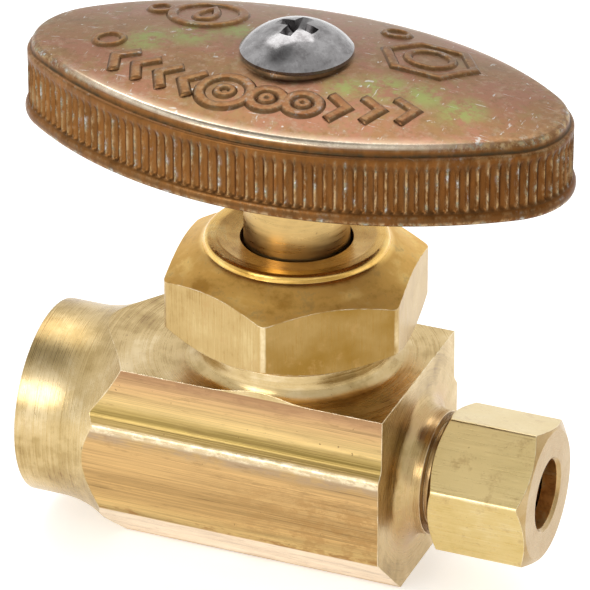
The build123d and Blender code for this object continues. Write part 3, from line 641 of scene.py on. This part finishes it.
def lay_flutes(skin, ledge_z):
    """Hollows with pointed tops between thin crests."""
    phase = (np.arange(skin.count) % FLUTE_STEPS) / FLUTE_STEPS
    crest = np.abs(2 * phase - 1) ** 4
    hollow = 1 - np.abs(2 * phase - 1) ** 2.2
    top, foot = ledge_z.min() - 0.50 * MM, HANDLE_LOW.z + LIP_H + 0.05 * MM
    arch, sill = 0.95 * MM, 0.35 * MM            # heights over which a hollow fades out above and below
    for level in (1.06, 1.0, 0.9, 0.78, 0.62, 0.44, 0.22, 0.0):
        cut = FLUTE_DEPTH * np.clip(hollow - level ** 1.4, 0, 1)
        # painted shade: the spandrels between the pointed tops are darkened
        darkening = 0.9 * crest * math.exp(-((level - 0.62) / 0.36) ** 2)
        skin.wall(cut, top - arch * (1 - level), crest * max(0, 1 - 0.55 * level), 0, darkening)
    for height in (0.75, 0.5, 0.25):
        skin.wall(FLUTE_DEPTH * hollow, foot + sill + height * (top - arch - foot - sill), crest)
    # painted shade: the hollows darken towards the sill at their feet
    for level in (1.0, 0.5, 0.25, 0.1, 0.0):
        cut = FLUTE_DEPTH * np.clip(hollow - (1 - level) ** 2, 0, 1)
        skin.wall(cut, foot + sill * level, crest * level, 0, 0.45 * (1 - level))


def lay_lip(skin):
    """A rounded bead round the bottom edge."""
    round_out = 0.28 * MM
    for angle in np.linspace(75, -90, 10):
        turn = math.radians(angle)
        worn = 0.95 * math.exp(-((angle + 38) / 22) ** 2) + 0.25 * math.exp(-((angle - 40) / 20) ** 2)
        darkening = 0.5 * math.exp(-((angle - 5) / 20) ** 2)
        skin.wall(round_out * (1 - math.cos(turn)) - LIP_OUT, HANDLE_LOW.z + LIP_H / 2 * (1 + math.sin(turn)),
                  worn, 0, darkening)


def lay_underside(skin):
    """Inner wall, roof, hub and the bore round the stem."""
    unit, inner = skin.unit, skin.outline - skin.outward * WALL_T
    roof_z = crown(inner[:, 0], inner[:, 1], ROOF_T)
    bevel, corner, hub_bevel = 0.25 * MM, 0.6 * MM, 0.2 * MM
    skin.wall(WALL_T - bevel, HANDLE_LOW.z)
    skin.wall(WALL_T, HANDLE_LOW.z + bevel)
    for angle in (0, 30, 60, 90):
        turn = math.radians(angle)
        skin.wall(WALL_T + corner * (1 - math.cos(turn)), roof_z - corner * (1 - math.sin(turn)))
    shoulder = unit * (HUB_R + corner)
    for out in (0.66, 0.33, 0.0):
        xy = shoulder + (inner - shoulder) * out
        skin.ring(xy, crown(xy[:, 0], xy[:, 1], ROOF_T))
    shoulder_z = crown(shoulder[:, 0], shoulder[:, 1], ROOF_T)
    for angle in (30, 60, 90):
        turn = math.radians(angle)
        skin.ring(unit * (HUB_R + corner * (1 - math.sin(turn))), shoulder_z - corner * (1 - math.cos(turn)))
    skin.ring(unit * HUB_R, HUB_Z + hub_bevel)
    skin.ring(unit * (HUB_R - hub_bevel), HUB_Z)
    skin.ring(unit * BORE_R, HUB_Z)
    skin.ring(unit * BORE_R, BORE_TOP)
    skin.ring(unit * SCREW_HOLE_R, BORE_TOP)


def make_handle(material):
    skin = Skin()
    lay_top(skin)
    ledge_z = lay_ledge(skin)
    lay_flutes(skin, ledge_z)
    lay_lip(skin)
    lay_underside(skin)
    return skin.build("handle_shell", material)


# Relief on the handle's top, as strokes about the handle's own axes, in millimetres.
# A stroke is (points, closed, width).
FRONT_ARC_R, FRONT_ARC_X, FRONT_ARC_Y = 35.0, -1.0, 26.6     # the arc that the row along the front follows

# across a stroke: share of half the width, extra width, height over the crown, wear, darkening at the stroke's foot
# as painted shade
MARK_SECTION = [
    (1.0, 0.42, -0.25, 0.0, 0.0), (1.0, 0.20, 0.0, 0.3, 0.7), (1.0, 0.08, 0.12, 0.0, 0.55),
    (1.0, -0.03, 0.25, 0.5, 0.1), (0.6, 0.0, 0.28, 0.2, 0.0)]


def between(a, b, count=8):
    """Evenly spaced points from a towards b, without b."""
    return [(a[0] + (b[0] - a[0]) * k / count, a[1] + (b[1] - a[1]) * k / count) for k in range(count)]


def ring_stroke(x, y, rx, ry, width, points=40):
    turns = np.linspace(0, 2 * math.pi, points, endpoint=False)
    return [(x + rx * math.cos(t), y + ry * math.sin(t)) for t in turns], True, width


def drop_stroke(x, y, size, width, points=40):
    """A water drop, point towards the handle's long edge."""
    turns = np.linspace(0, 2 * math.pi, points, endpoint=False)
    return [(x + 0.72 * size * math.sin(t) * math.sin(t / 2), y + size * math.cos(t)) for t in turns], True, width


def hexagon_stroke(x, y, rx, ry, width):
    turns = [2 * math.pi * k / 6 for k in range(6)]
    spots = [(x + rx * math.cos(t), y + ry * math.sin(t)) for t in turns]
    path = []
    for a, b in zip(spots, spots[1:] + spots[:1]):
        path += between(a, b)
    return path, True, width


def along_front(angle):
    """A place on the front arc, and the arc's direction there."""
    t = math.radians(angle)
    place = (FRONT_ARC_R * math.sin(t) + FRONT_ARC_X, FRONT_ARC_Y - FRONT_ARC_R * math.cos(t))
    return place, (math.cos(t), math.sin(t))


def chevron_stroke(angle, way):
    """A chevron on the front arc, pointing outwards for way 1 and the other way for -1."""
    size, width = 1.75, 0.8
    (x, y), (ax, ay) = along_front(angle)
    nx, ny = -ay * size, ax * size
    bx, by = -way * 0.45 * size * ax, -way * 0.45 * size * ay
    first, point, last = (x + bx + nx, y + by + ny), (x - bx, y - by), (x + bx - nx, y + by - ny)
    return between(first, point) + between(point, last) + [last], False, width


def relief():
    strokes = [chevron_stroke(angle, -1) for angle in (-23.5, -19.0, -14.5, -10.0)]
    strokes += [chevron_stroke(angle, 1) for angle in (13.5, 18.5, 23.5)]
    for angle, size in ((-4.0, 2.15), (2.7, 1.4), (8.2, 1.4)):
        (x, y), _ = along_front(angle)
        strokes.append(ring_stroke(x, y, size * 1.1, size, 0.8))
        strokes.append(ring_stroke(x, y, 0.34 * size, 0.3 * size, 0.5, 20))
    for x, y, rx, ry in ((-17.6, -2.4, 1.35, 1.1), (-16.0, 5.6, 1.1, 1.0), (6.1, 9.0, 1.2, 1.0)):
        strokes.append(ring_stroke(x, y, rx, ry, 0.4, 28))
    strokes.append(ring_stroke(-11.2, 5.4, 3.4, 3.0, 0.75, 56))
    strokes.append(drop_stroke(-11.2, 5.4, 1.6, 0.5))
    strokes.append(hexagon_stroke(11.2, 4.5, 4.3, 3.7, 0.7))
    strokes.append(ring_stroke(11.2, 4.5, 2.1, 1.8, 0.55, 44))
    return strokes


def directions(steps):
    return steps / np.maximum(np.linalg.norm(steps, axis=1), 1e-12)[:, None]


def make_marks(material):
    """Low rounded strokes that follow the crowned top and run into it."""
    verts, faces, wear, dark = [], [], [], []
    section = [(1, *row) for row in MARK_SECTION] + [(-1, *row) for row in reversed(MARK_SECTION)]
    for path, closed, width in relief():
        points = np.array(path) * MM
        ahead = directions(np.roll(points, -1, 0) - points)
        behind = directions(points - np.roll(points, 1, 0))
        if not closed:
            ahead[-1], behind[0] = behind[-1], ahead[0]
        mean = directions(ahead + behind)
        miter = 1 / np.maximum((mean * ahead).sum(1), 0.6)
        normal = np.stack([-mean[:, 1], mean[:, 0]], 1)
        faces += tube_faces(len(verts), len(points), len(section), closed)
        for spot, side, stretch in zip(points, normal, miter):
            for way, share, extra, height, worn, dark_share in section:
                x, y = spot + side * way * (share * width / 2 + extra) * MM * stretch
                verts.append((x, y, crown(x, y) + height * MM))
                wear.append(worn)
                dark.append(dark_share)
    obj = mesh_object("handle_marks", on_spindle(verts), faces, material)
    face_outwards(obj)
    attach(obj, wear=wear, dark=dark, top=np.full(len(verts), 0.35), polish=np.zeros(len(verts)))
    return obj


def make_webs(material):
    """Two webs across the shell, from the hub to its long walls, rounded along their lower edge."""
    verts, faces = [], []
    half, round_r = WEB_T / 2, 0.4 * MM
    section = [(-half, None)]                    # x and z, and None where the web meets the roof
    for side, angles in ((-1, (180, 210, 240, 270)), (1, (270, 300, 330, 360))):
        for angle in angles:
            turn = math.radians(angle)
            section.append((side * (half - round_r) + round_r * math.cos(turn),
                            WEB_Z + round_r * (1 + math.sin(turn))))
    section.append((half, None))
    for way in (1, -1):
        reach = np.linspace(HUB_R - 0.6 * MM, OVAL_B - WALL_T + 0.5 * MM, 8) * way
        faces += tube_faces(len(verts), len(reach), len(section))
        for y in reach:
            for x, z in section:
                verts.append((x, y, crown(x, y, ROOF_T) + 0.5 * MM if z is None else z))
    obj = mesh_object("handle_webs", on_spindle(verts), faces, material, smooth=False)
    face_outwards(obj)
    plain = np.zeros(len(verts))
    attach(obj, wear=plain, dark=plain, top=plain, polish=plain)
    return obj


# ---------------------------------------------------------------- stage, lights and camera

GLOW = 0.40                                  # the floor is lit from below a little, like a light table
FLOOR_HALF = 3.0
LENS, SENSOR = 319.18, 36                    # in millimetres, fitted to the photo
CAMERA_AZIMUTH, CAMERA_ELEVATION = math.radians(22.16), math.radians(28.79)
CAMERA_FROM_STEM = (0.1601, -0.39356, 0.24936)
BACKWARDS = (-0.38, 0.92, 0)                 # away from the camera's side
OVERHEAD = (-0.33, -0.16, 0.93)              # what the inlet's dark band reflects


def make_floor():
    m = Material("floor")
    speck = m.noise(m.place, scale=40, detail=3)
    colour = m.ramp(speck, [(0.3, (0.90, 0.90, 0.90)), (0.7, (0.93, 0.93, 0.93))])
    m.finish(colour, 0.9, 0.0, Emission_Color=(1, 1, 1, 1), Emission_Strength=GLOW)
    half, z = FLOOR_HALF, cad_box[0].z
    corners = [(-half, -half, z), (half, -half, z), (half, half, z), (-half, half, z)]
    mesh_object("floor", corners, [(0, 1, 2, 3)], m.material, smooth=False)


def area_light(name, place, target, size, power):
    data = bpy.data.lights.new(name, "AREA")
    data.shape = "RECTANGLE"
    data.size, data.size_y = size
    data.energy = power
    light = bpy.data.objects.new(name, data)
    light.location = place
    light.rotation_euler = (Vector(target) - Vector(place)).to_track_quat("-Z", "Y").to_euler()
    bpy.context.scene.collection.objects.link(light)


def make_world(front, behind, overhead):
    """White surround, brighter behind the valve than on the camera's side, and dim overhead."""
    world = bpy.data.worlds.new("studio")
    world.use_nodes = True
    nodes, links = world.node_tree.nodes, world.node_tree.links
    background = nodes["Background"]
    direction = nodes.new("ShaderNodeTexCoord").outputs["Generated"]

    def ramp(axis, low, high, to_low, to_high):
        along = nodes.new("ShaderNodeVectorMath")
        along.operation = "DOT_PRODUCT"
        along.inputs[1].default_value = axis
        links.new(direction, along.inputs[0])
        shade = nodes.new("ShaderNodeMapRange")
        shade.interpolation_type = "SMOOTHSTEP"
        for name, value in (("From Min", low), ("From Max", high), ("To Min", to_low), ("To Max", to_high)):
            shade.inputs[name].default_value = value
        links.new(along.outputs["Value"], shade.inputs["Value"])
        return shade.outputs[0]

    both = nodes.new("ShaderNodeMath")
    both.operation = "MULTIPLY"
    links.new(ramp(BACKWARDS, -0.4, 0.5, front, behind), both.inputs[0])
    links.new(ramp(OVERHEAD, 0.90, 0.995, 1.0, overhead), both.inputs[1])
    links.new(both.outputs[0], background.inputs["Strength"])
    background.inputs["Color"].default_value = (1, 1, 1, 1)
    bpy.context.scene.world = world


def make_camera():
    data = bpy.data.cameras.new("camera")
    data.lens, data.sensor_width = LENS, SENSOR
    data.clip_start, data.clip_end = 0.01, 20
    camera = bpy.data.objects.new("camera", data)
    azimuth, elevation = CAMERA_AZIMUTH, CAMERA_ELEVATION
    right = Vector((math.cos(azimuth), math.sin(azimuth), 0))
    back = Vector((math.sin(azimuth) * math.cos(elevation), -math.cos(azimuth) * math.cos(elevation),
                   math.sin(elevation)))
    turn = Matrix((right, back.cross(right), back)).transposed().to_4x4()
    x, y, z = CAMERA_FROM_STEM
    camera.matrix_world = Matrix.Translation((x + STEM_X, y, z)) @ turn
    bpy.context.scene.collection.objects.link(camera)
    bpy.context.scene.camera = camera


# ---------------------------------------------------------------- build

def paint(node, material):
    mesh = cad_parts[node].data
    mesh.materials.clear()
    mesh.materials.append(material)


make_camera()
make_floor()
make_world(front=0.80, behind=1.08, overhead=0.30)
area_light("front_left", (-0.24, -0.66, 0.34), (0.025, 0, 0.01), (0.36, 0.28), 1.5)
area_light("behind", (-0.26, 0.40, 0.82), (0.025, 0, 0.0), (0.8, 0.45), 2.2)

paint("valve_body", brass_body())
paint("bonnet_nut", brass_nut(
    "brass_bonnet", (STEM_X, 0, 0), "z", corner_r=12.64 * MM,
    turned_tones=[(0.54, 0.30, 0.060), (0.78, 0.49, 0.135), (0.95, 0.70, 0.26)],
    side_tones=[(0.38, 0.24, 0.080), (0.50, 0.345, 0.140), (0.60, 0.45, 0.21)],
    brush_along=(7000, 7000, 260), dish_r=8.7 * MM, rough_out=0.60,
    # painted shade: the flat turned to the front right is tinted dark, and the end inside the dish is darkened
    # under the handle
    facing_light_and_shade=[((0.616, -0.788, 0), (0.28, 0.155, 0.030), 1.0)], dark_tone=(0.30, 0.150, 0.030)))
# the outlet nut's face is smooth and darkened out to its corners, so its dish reaches past them
paint("outlet_nut", brass_nut(
    "brass_outlet", (0, 0, 0), "x", corner_r=7.265 * MM,
    turned_tones=[(0.38, 0.28, 0.14), (0.48, 0.37, 0.20), (0.58, 0.46, 0.28)],
    side_tones=[(0.62, 0.45, 0.16), (0.71, 0.54, 0.23), (0.79, 0.64, 0.33)],
    brush_along=(260, 7000, 7000), dish_r=20 * MM, rough_out=0.26,
    # painted light: the flats turned up and towards the front are tinted pale
    facing_light_and_shade=[((0, 0, 1), (0.66, 0.58, 0.38), 0.4), ((0, -0.866, 0.5), (0.93, 0.72, 0.34), 0.9)],
    dark_tone=(0.40, 0.24, 0.08)))
paint("stem", brass_plain("brass_stem", (0.62, 0.42, 0.165), (STEM_X, 0, 0), "z", roughness=0.32))
ring = brass_plain("brass_ring", (0.80, 0.52, 0.22))
for node in ("packing_washer", "friction_ring", "seat_washer_screw", "compression_sleeve"):
    paint(node, ring)
black = rubber()
for node in ("stem_packing", "seat_washer"):
    paint(node, black)
paint("handle_screw", screw_steel())
bronze = bronze_plate()
shell = make_handle(bronze)
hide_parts("handle")
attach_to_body(shell, "spindle")
for piece in (make_marks(bronze), make_webs(bronze)):
    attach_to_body(piece, "spindle")

bpy.context.scene.view_settings.view_transform = "Standard"
